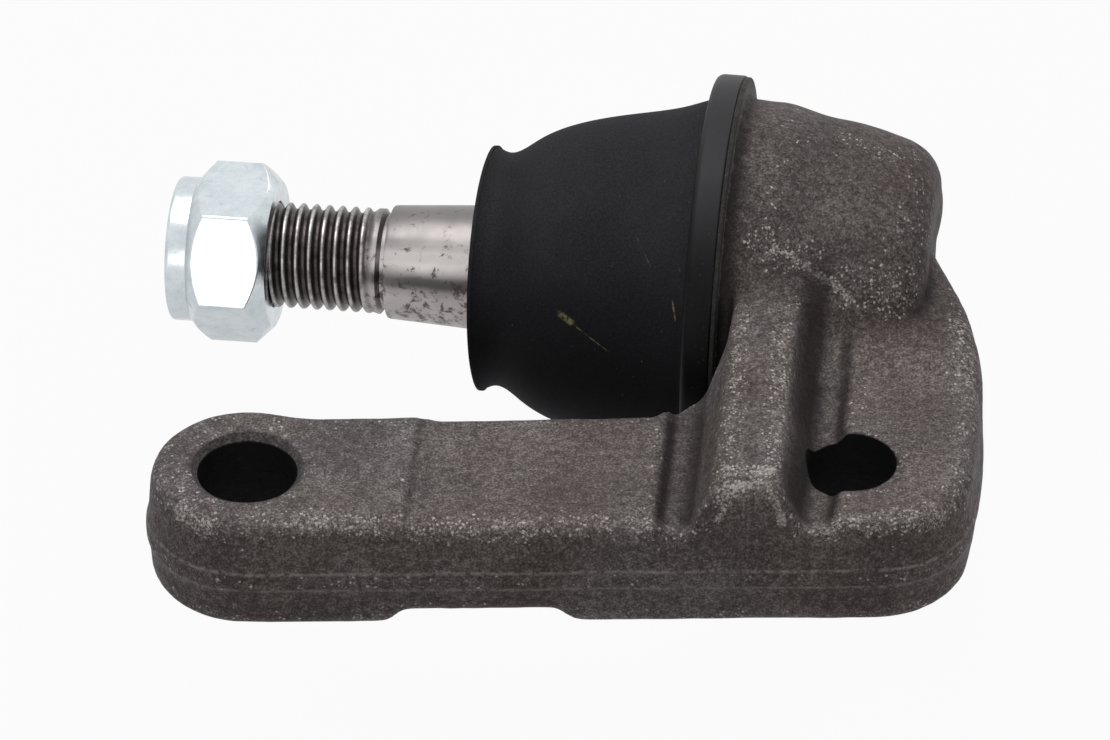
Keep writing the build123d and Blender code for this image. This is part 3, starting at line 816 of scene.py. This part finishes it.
def remeshedHousing():
    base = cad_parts["forged_housing"].data.copy()
    base.materials.clear()
    cleanMesh(base)
    blank = linkMesh("housingBlank", base)
    remesh = blank.modifiers.new("remesh", "REMESH")
    remesh.mode = "VOXEL"
    remesh.voxel_size = housing["voxel"] * mm
    mesh = evaluatedMesh(blank, "forgedHousing")
    bpy.data.objects.remove(blank)
    return mesh


def turnedFaces(mesh, local, radius, along):
    # the mouth's rim and the bore, told from the cup's cone outside by which way they face
    radial = local * (1, 1, 0)
    radial /= np.maximum(np.linalg.norm(radial, axis=1), 1e-9)[:, None]
    turned = np.array(cupFrame.inverted())[:3, :3]
    outward = np.einsum("ij,ij->i", readNormals(mesh) @ turned.T, radial)
    rim = (along > housing["turnedFrom"]) & (radius < housing["turnedRadius"])
    return rim | ((radius < housing["boreRadius"]) & (along > housing["boreBack"]) & (outward < 0.3))


def growFillets(mesh, points, edges, weight, near):
    # hollows fill along the surface's normal, and nothing is cut away
    for turn in range(housing["filletPasses"]):
        pull = neighbourMean(points, edges, weight) - points
        if turn % 6 == 0:
            writePoints(mesh, points)
            normals = readNormals(mesh)
        rise = np.einsum("ij,ij->i", pull, normals)
        points = points + normals * (np.clip(rise, 0, None) * near * housing["filletPull"])[:, None]
    return points


def edgeMaps(points, normals, edges, weight):
    # convex edges rub bright, and hollows get painted shade
    smooth = relax(points, edges, weight, 1.0, 0.6, 14)
    curve = (np.einsum("ij,ij->i", points - smooth, normals) / mm)[:, None]
    curve = relax(curve, edges, weight, 1.0, 0.5, 8)[:, 0]
    return np.clip(curve / 0.1, 0, 1) * 0.75, np.clip(-curve / 0.12 - 0.15, 0, 1)


def flangeTakenBack(points, local, radius, along):
    # the flange under the clamp ring shrinks into the turned disc that joins it later
    flange = housing["flange"]
    webSide = (local[:, 0] / mm < -12) & (np.abs(local[:, 1]) / mm < 15)
    rim = (along > flange["from"] - 0.45) & (along < flange["to"] + 0.3) & (radius > 22.0) & (radius < 24.6)
    rim &= ~webSide
    size = np.where(radius > flange["takenBack"], flange["takenBack"] / np.maximum(radius, 1e-6), 1.0)
    middle = 0.5 * (flange["from"] + flange["to"])
    level = np.clip(along, middle - 0.12, middle + 0.12) * mm
    shrunk = np.column_stack((local[:, 0] * size, local[:, 1] * size, level))
    return np.where(rim[:, None], moved(shrunk, cupFrame), points)


def roomForHoles(points):
    # the hole walls move in, so that the cutters leave clean bores
    for hole in (housing["eye"], housing["locating"]):
        offset = points[:, :2] - np.array(hole["at"]) * mm
        span = np.linalg.norm(offset, axis=1) / mm
        reach = hole["chamfer"] + 0.5
        edge = hole["radius"] + reach
        shift = (reach + 0.15) * np.clip((edge + 2.0 - span) / 2.0, 0, 1)
        shift[span > edge + 2.0] = 0
        points[:, :2] -= offset / np.maximum(span, 1e-6)[:, None] * np.minimum(shift, span * 0.5)[:, None]


def joinAndCut(made):
    # the turned flange disc joins, and the two holes are cut
    flange = housing["flange"]
    disc = roundedProfile([
        (flange["inner"], flange["from"], 0), (flange["radius"], flange["from"], 0.2),
        (flange["radius"], flange["to"], 0.1), (flange["inner"], flange["to"], 0)], 4)
    tools = (
        ("UNION", linkMesh("flangeDisc", lathe("flangeDisc", disc, cupFrame, 192))),
        ("DIFFERENCE", holeCutter(housing["eye"], "eyeCutter")),
        ("DIFFERENCE", holeCutter(housing["locating"], "locatingCutter")))
    for operation, tool in tools:
        step = made.modifiers.new("step", "BOOLEAN")
        step.operation = operation
        step.solver = "EXACT"
        step.object = tool
    final = evaluatedMesh(made, "forgedHousingMesh")
    made.modifiers.clear()
    made.data = final
    for operation, tool in tools:
        bpy.data.objects.remove(tool)
    return final


def holeShadeMap(points):
    # 1 on the walls of the holes, less on their chamfers: the share of painted shade there
    bore = np.zeros(len(points))
    for hole in (housing["eye"], housing["locating"]):
        span = np.linalg.norm(points[:, :2] - np.array(hole["at"]) * mm, axis=1) / mm
        inside = (span < hole["radius"] + 0.03).astype(float)
        if hole["chamfer"]:
            height, chamfer = points[:, 2] / mm, hole["chamfer"] + 0.1
            lip = (height > hole["top"] - chamfer) | (height < hole["bottom"] + chamfer)
            inside[lip] = np.where(span < hole["radius"] + hole["chamfer"] + 0.06, 0.42, 0)[lip]
        bore = np.maximum(bore, inside)
    return bore


def underFlange(points):
    # the narrow gap under the flange, where painted shade goes
    flange = housing["flange"]
    local = moved(points, cupFrame.inverted()) / mm
    radius = np.hypot(local[:, 0], local[:, 1])
    middle = 0.5 * (flange["from"] + flange["to"])
    return (radius > 22.2) & (radius < 23.5) & (np.abs(local[:, 2] - middle) < 0.6)


def makeHousing():
    h = housing
    mesh = remeshedHousing()
    edges, weight = meshEdges(mesh)
    points = readPoints(mesh)
    local = moved(points, cupFrame.inverted())
    radius, along = np.hypot(local[:, 0], local[:, 1]) / mm, local[:, 2] / mm
    keep = turnedFaces(mesh, local, radius, along)
    free = np.where(keep, 0.0, 1.0)
    # forging fillets grow only where the cup runs into the web and the plate
    near = np.clip(1 - np.abs(radius - h["cupRadius"]) / h["filletReach"], 0, 1)
    near = np.minimum(1, near * 2.2) * (along < h["turnedFrom"]) * (along > h["filletBack"])
    near[np.abs(points[:, 2]) > h["filletTop"] * mm] *= 0.6
    points = growFillets(mesh, points, edges, weight, near * free)
    points = relax(points, edges, weight, free[:, None], 0.5, h["softPasses"])
    writePoints(mesh, points)
    normals = readNormals(mesh)
    maps = {}
    maps["wear"], maps["hollowShade"] = edgeMaps(points, normals, edges, weight)
    maps["wear"][(along > 4.8) & (radius > 20.5) & (radius < 24.6)] = 0
    maps["scratch"] = np.zeros(len(points))
    for line, reach, strength in h["rubs"]:
        maps["scratch"] = np.maximum(maps["scratch"], nearLine(points, line, reach) * strength)
    flank = flankShare(points, normals)
    # painted shade: the hollows, less on the valleys' floors, and the rib's flanks
    maps["hollowShade"] = np.maximum(maps["hollowShade"] * (1 - 0.8 * valleyFloor(points)), flank)
    points = flangeTakenBack(points, local, radius, along)
    end = np.clip((h["bulgeFrom"] - along) / 6, 0, 1) * np.clip((radius - 4) / 8, 0, 1)
    end *= np.clip((24 - radius) / 2, 0, 1) * np.clip((points[:, 2] / mm + 2) / 6, 0, 1) * free
    end = (end * end * (3 - 2 * end))[:, None]
    points = relax(points + normals * end * h["bulge"] * mm, edges, weight, end, 0.6, h["bulgePasses"])
    # the arm's far edge was rubbed less
    far = np.clip(normals[:, 1] * 1.3, 0, 0.65) * np.clip((48 - points[:, 0] / mm) / 6, 0, 1)
    maps["wear"] *= (1 - np.clip(flank * 1.5, 0, 1)) * (1 - far)
    maps["side"] = np.clip(1.6 - np.abs(normals[:, 2]) * 2.2, 0, 1) * (radius > 22)
    points[:, 2] -= flank * h["flankCut"] * mm
    for height, grain in h["skinHeights"]:
        points += normals * (skinNoise(points, grain) * height * mm * free)[:, None]
    roomForHoles(points)
    # darker, browner on most of the cup, and less of it on the steep sides
    darkerTint = np.clip((23.0 - radius) / 2.0, 0, 1) * np.clip((points[:, 1] / mm - 18.0) / 5.0, 0, 1) * 0.6
    maps["darkerTint"] = np.maximum(darkerTint, maps["side"] * 0.3)
    writePoints(mesh, np.clip(points, cadBox[0], cadBox[1]))
    for name, values in maps.items():
        setAttribute(mesh, name, values)
    made = linkMesh("forgedHousing", mesh)
    final = joinAndCut(made)
    points = readPoints(final)
    bore, under = holeShadeMap(points), underFlange(points)
    for name in maps:
        values = np.zeros(len(points), np.float32)
        final.attributes[name].data.foreach_get("value", values)
        values[bore > 0] = 0
        # the gap under the flange gets full painted shade
        values[under] = 1.0 if name == "hollowShade" else 0.0
        setAttribute(final, name, values)
    setAttribute(final, "bore", bore)
    finishMesh(final, "forging")
    smoothShade(final, 34)
    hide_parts("forged_housing")
    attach(made, "housing")
    print("stage: housing", len(final.vertices), "points")


makeHousing()

# clamp ring round the boot's bead
clampRing = {
    "inner": 22.3, "outer": 23.5, "hook": 21.1, "from": 6.9, "to": 10.1, "hookThick": 0.9, "round": 0.9,
    "rubbedFrom": 23.2,
}


def makeClampRing():
    c = clampRing
    under = c["to"] - c["hookThick"]
    profile = roundedProfile([
        (c["inner"], c["from"], 0.15), (c["outer"], c["from"], 0.25), (c["outer"], c["to"], c["round"]),
        (c["hook"], c["to"], 0.3), (c["hook"], under, 0.2), (c["inner"], under, 0.3)], 6)
    mesh = lathe("bootClampRing", profile, cupFrame, 192)
    local = moved(readPoints(mesh), cupFrame.inverted()) / mm
    setAttribute(mesh, "wear", np.clip((np.hypot(local[:, 0], local[:, 1]) - c["rubbedFrom"]) / 0.3, 0, 1))
    finishPiece("bootClampRing", mesh, "ring", "housing", "boot_clamp_ring")


makeClampRing()

# dust boot: one lathe whose rings turn from the cup's axis to the stud's
boot = {
    "bead": [(19.3, 6.9), (22.0, 6.9), (22.0, 9.05), (20.8, 9.05), (20.8, 10.25)],
    "skirt": [(20.6, 10.4), (19.75, 13.0), (18.45, 19.3), (16.9, 25.6)],
    "cone": [(16.9, 25.6), (14.9, 29.7), (13.25, 33.1), (14.1, 34.9)],
    "lip": [(12.9, 34.9), (8.96, 33.3), (7.76, 33.3), (7.76, 29.3), (12.1, 29.3)],
    "inside": [(12.1, 29.3), (14.9, 24.6), (16.45, 19.3), (17.75, 13.0), (18.25, 11.2)],
    "shoulder": [(18.4, 10.95), (19.3, 9.9)],
    # where the rings turn to the stud's axis, and the ends of a span for bending
    "turnFrom": 10.4,
    "turnTo": 13.5,
    "bendFrom": 12.5,
    "bendTo": 28.5,
}


def makeBoot():
    b = boot
    outside = spline(b["skirt"][:-1] + b["cone"], 60)
    lip = roundedProfile([(*outside[-1], 0.35)] + [(r, h, 0.3) for r, h in b["lip"]], 3)[:-1]
    inside = spline(b["inside"], 24)
    profile = b["bead"] + outside[:-1] + lip + inside + b["shoulder"]
    mesh = lathe("dustBoot", profile, Matrix.Identity(4), 160)
    points = readPoints(mesh)
    along = points[:, 2] / mm
    share = np.clip((along - b["turnFrom"]) / (b["turnTo"] - b["turnFrom"]), 0, 1)
    share = (share * share * (3 - 2 * share))[:, None]
    writePoints(mesh, moved(points, cupFrame) * (1 - share) + moved(points, studFrame) * share)
    made = finishPiece("dustBoot", mesh, "rubber", None, "dust_boot", 50)
    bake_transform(made)


makeBoot()
print("stage: boot and clamp ring")

# ball stud: turned body, with the thread swept as one helical strip
stud = {
    "steps": 72,
    "ball": 10.5, "ballFlat": -9.5, "neck": 5.6, "neckEnd": 13.882,
    "taperLargeAt": 20.4, "taperSmallAt": 45.8, "taperSmall": 6.45, "taperRatio": 1 / 16,
    "runout": 5.4, "runoutEnd": 46.35,
    "threadFrom": 46.8, "threadTo": 69.0, "threadRadius": 6.0, "end": 70.0, "chamfer": 1.0,
    "pitch": 1.5, "depth": 0.66, "fade": 2.2,
}


def threadTree():
    tree = bpy.data.node_groups.new("helicalThread", "GeometryNodeTree")
    tree.interface.new_socket("Geometry", in_out="OUTPUT", socket_type="NodeSocketGeometry")
    for name, value in (("Pitch", 1.5), ("Crest Radius", 6.0), ("Depth", 0.9), ("Start", 0.0),
                        ("Length", 20.0), ("Fade", 3.0)):
        socket = tree.interface.new_socket(name, in_out="INPUT", socket_type="NodeSocketFloat")
        socket.default_value = value
    for name, value in (("Steps", 72), ("Turns", 16)):
        socket = tree.interface.new_socket(name, in_out="INPUT", socket_type="NodeSocketInt")
        socket.default_value = value
    tree.interface.new_socket("Material", in_out="INPUT", socket_type="NodeSocketMaterial")
    asks = add(tree, "NodeGroupInput").outputs
    gives = add(tree, "NodeGroupOutput")
    rows = 17
    columns = plus(tree, times(tree, asks["Steps"], asks["Turns"]), 1.0)
    grid = add(tree, "GeometryNodeMeshGrid", {
        "Size X": 1.0, "Size Y": 1.0, "Vertices X": columns, "Vertices Y": rows})
    flat = split(tree, add(tree, "GeometryNodeInputPosition").outputs[0])
    u = plus(tree, flat["X"], 0.5)
    v = plus(tree, flat["Y"], 0.5)
    turns = times(tree, u, asks["Turns"])
    # the strip starts a pitch early and ends late: what lies past the ends is pressed flat
    along = times(tree, minus(tree, plus(tree, turns, v), 1.0), asks["Pitch"])
    held = add(tree, "ShaderNodeClamp", {"Value": along, "Min": 0.0, "Max": asks["Length"]}).outputs[0]
    # root flats on both sides, flanks, and a narrow crest in the middle
    fromMiddle = maths(tree, "ABSOLUTE", minus(tree, v, 0.5))
    cut = mapRange(tree, fromMiddle, 0.03, 0.43, interpolation_type="SMOOTHSTEP")
    grow = mapRange(tree, held, 0.0, asks["Fade"], interpolation_type="SMOOTHSTEP")
    left = minus(tree, asks["Length"], held)
    leave = mapRange(tree, left, 0.0, asks["Pitch"], interpolation_type="SMOOTHSTEP")
    deep = times(tree, times(tree, cut, asks["Depth"]), times(tree, grow, leave))
    radius = minus(tree, asks["Crest Radius"], deep)
    angle = times(tree, turns, 2 * math.pi)
    place = add(tree, "ShaderNodeCombineXYZ", {
        "X": times(tree, radius, maths(tree, "COSINE", angle)),
        "Y": times(tree, radius, maths(tree, "SINE", angle)),
        "Z": plus(tree, asks["Start"], held)})
    wound = add(tree, "GeometryNodeSetPosition", {"Geometry": grid.outputs["Mesh"], "Position": place.outputs[0]})
    merged = add(tree, "GeometryNodeMergeByDistance", {"Geometry": wound.outputs[0], "Distance": 0.002})
    real = add(tree, "GeometryNodeRealizeInstances", {"Geometry": merged.outputs[0]})
    coloured = add(tree, "GeometryNodeSetMaterial", {"Geometry": real.outputs[0], "Material": asks["Material"]})
    tree.links.new(coloured.outputs[0], gives.inputs["Geometry"])
    return tree


def makeThread():
    s = stud
    holder = linkMesh("threadStrip", bpy.data.meshes.new("threadStrip"))
    modifier = holder.modifiers.new("thread", "NODES")
    modifier.node_group = threadTree()
    length = s["threadTo"] - s["threadFrom"]
    values = {
        "Pitch": s["pitch"], "Crest Radius": s["threadRadius"], "Depth": s["depth"],
        "Start": s["threadFrom"], "Length": length, "Fade": s["fade"], "Steps": s["steps"],
        "Turns": int(length / s["pitch"]) + 3, "Material": finishes["stud"],
    }
    for item in modifier.node_group.interface.items_tree:
        if item.in_out == "INPUT":
            modifier[item.identifier] = values[item.name]
    mesh = evaluatedMesh(holder, "threadMesh")
    bpy.data.objects.remove(holder)
    return mesh


def makeStud():
    s = stud
    taperLarge = s["taperSmall"] + (s["taperSmallAt"] - s["taperLargeAt"]) * s["taperRatio"]
    flatRadius = math.sqrt(s["ball"] ** 2 - s["ballFlat"] ** 2)
    first = math.degrees(math.asin(s["ballFlat"] / s["ball"]))
    last = math.degrees(math.acos(s["neck"] / s["ball"]))
    body = [(0, s["ballFlat"]), (flatRadius, s["ballFlat"])] + arc((0, 0), s["ball"], first, last, 36)[1:]
    body += [(s["neck"], s["neckEnd"])]
    small, smallAt = s["taperSmall"], s["taperSmallAt"]
    for t in np.linspace(0, 1, 10)[1:]:
        ease = t * t * (3 - 2 * t)
        along = s["neckEnd"] + (s["taperLargeAt"] - s["neckEnd"]) * t
        body.append((s["neck"] + (taperLarge - s["neck"]) * ease, along))
    for t in np.linspace(0, 1, 8)[1:-1]:
        body.append((taperLarge + (small - taperLarge) * t, s["taperLargeAt"] + (smallAt - s["taperLargeAt"]) * t))
    # the taper's small end has a broken edge, and the groove behind it is the thread's run-out
    body += [(small + 0.016, smallAt - 0.25), (small - 0.06, smallAt - 0.06), (small - 0.22, smallAt),
             (s["runout"] + 0.12, smallAt), (s["runout"], smallAt + 0.12),
             (s["runout"], s["runoutEnd"]), (s["threadRadius"], s["threadFrom"])]
    tip = [(s["threadRadius"], s["threadTo"]), (s["threadRadius"] - s["chamfer"] + 0.1, s["end"] - 0.1),
           (s["threadRadius"] - s["chamfer"] - 0.1, s["end"]), (0, s["end"])]
    plain = Matrix.Scale(1 / mm, 4)
    work = bmesh.new()
    for profile in (body, tip):
        shell = lathe("studShell", profile, plain, s["steps"], closed=False)
        work.from_mesh(shell)
        bpy.data.meshes.remove(shell)
    work.from_mesh(makeThread())
    bmesh.ops.remove_doubles(work, verts=work.verts, dist=0.01)
    bmesh.ops.dissolve_degenerate(work, edges=work.edges, dist=0.004)
    bmesh.ops.recalc_face_normals(work, faces=work.faces)
    openEdges = sum(1 for e in work.edges if len(e.link_faces) != 2)
    mesh = bpy.data.meshes.new("ballStud")
    work.to_mesh(mesh)
    work.free()
    mesh.transform(studFrame @ Matrix.Scale(mm, 4))
    finishPiece("ballStud", mesh, "stud", "stud", "ball_stud", 28)
    print("stage: stud, edges without two faces:", openEdges)


makeStud()

# lock nut: a hexagon between two cones, with a thin collar for the insert
nut = {
    "flat": 9.0, "edgeRound": 0.45, "turn": -1.5, "seatAt": 59.0, "endAt": 70.6, "seat": 8.3, "collar": 8.2,
    "collarLength": 2.4, "backSlope": 42, "bore": 6.05, "lip": 1.0, "recess": 0.5, "insert": 6.85, "insertThick": 2.2,
}


def hexRadius(degrees):
    # the hexagon's outline, with rounded corners
    n = nut
    offCorner = (degrees - n["turn"] + 30) % 60 - 30
    centre = (n["flat"] - n["edgeRound"]) / math.cos(math.radians(30))
    a = math.radians(abs(offCorner))
    flatRadius = n["flat"] / math.cos(math.radians(30) - a)
    inside = n["edgeRound"] ** 2 - (centre * math.sin(a)) ** 2
    if inside > 0:
        return min(flatRadius, centre * math.cos(a) + math.sqrt(inside))
    return flatRadius


def makeNut():
    n = nut
    # degrees from one corner to the next, closer together near the rounded corners
    sector = [0, 0.35, 0.7, 1.1, 1.6, 3, 5, 8, 12, 16, 20, 25, 30, 35, 40, 44, 48, 52, 55, 57,
              58.4, 58.9, 59.3, 59.65]
    angles = [n["turn"] + 60 * k + a for k in range(6) for a in sector]
    bore, seat, seatAt, collar, endAt = n["bore"], n["seat"], n["seatAt"], n["collar"], n["endAt"]
    collarAt, recessAt, inside = endAt - n["collarLength"], endAt - n["recess"], collar - n["lip"]
    pocketAt, slope = recessAt - n["insertThick"], math.tan(math.radians(n["backSlope"]))
    rings = []
    for degrees in angles:
        edge = hexRadius(degrees)
        rings.append(roundedProfile([
            (bore, seatAt, 0.2), (seat, seatAt, 0.2), (edge, seatAt + (edge - seat), 0.3),
            (edge, collarAt - (edge - collar) * slope, 0.3), (collar, collarAt, 0.12), (collar, endAt, 0.8),
            (inside, endAt, 0.1), (inside, recessAt, 0.05), (n["insert"], recessAt, 0.05),
            (n["insert"], pocketAt, 0.1), (bore, pocketAt, 0.1)], 5))
    points, faces = [], []
    width = len(rings[0])
    for degrees, ring in zip(angles, rings):
        a = math.radians(degrees)
        points += [studFrame @ (Vector((r * math.cos(a), r * math.sin(a), h)) * mm) for r, h in ring]
    for i in range(len(rings)):
        here, there = i * width, (i + 1) % len(rings) * width
        for j in range(width):
            after = (j + 1) % width
            faces.append((here + j, there + j, there + after, here + after))
    mesh = meshFrom("lockNut", points, faces)
    cleanMesh(mesh, 0.000002)
    finishPiece("lockNut", mesh, "zinc", "stud", "lock_nut", 24)


makeNut()

# insert and the hidden bearing
insert = {"outer": 6.8, "bore": 6.05, "from": 67.9, "to": 70.1}
ringProfile = roundedProfile([
    (insert["bore"], insert["from"], 0.1), (insert["outer"], insert["from"], 0.1),
    (insert["outer"], insert["to"], 0.1), (insert["bore"], insert["to"], 0.25)], 4)
finishPiece("nylonInsert", lathe("nylonInsert", ringProfile, studFrame, 96), "nylon", "stud", "nylon_insert")
for node, finish in (("front_seat", "seat"), ("rear_seat", "seat"), ("preload_spring", "spring"),
                     ("closing_ring", "closing"), ("boot_neck_ring", "wire")):
    finishMesh(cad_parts[node].data, finish)
print("stage: nut, insert and bearing")
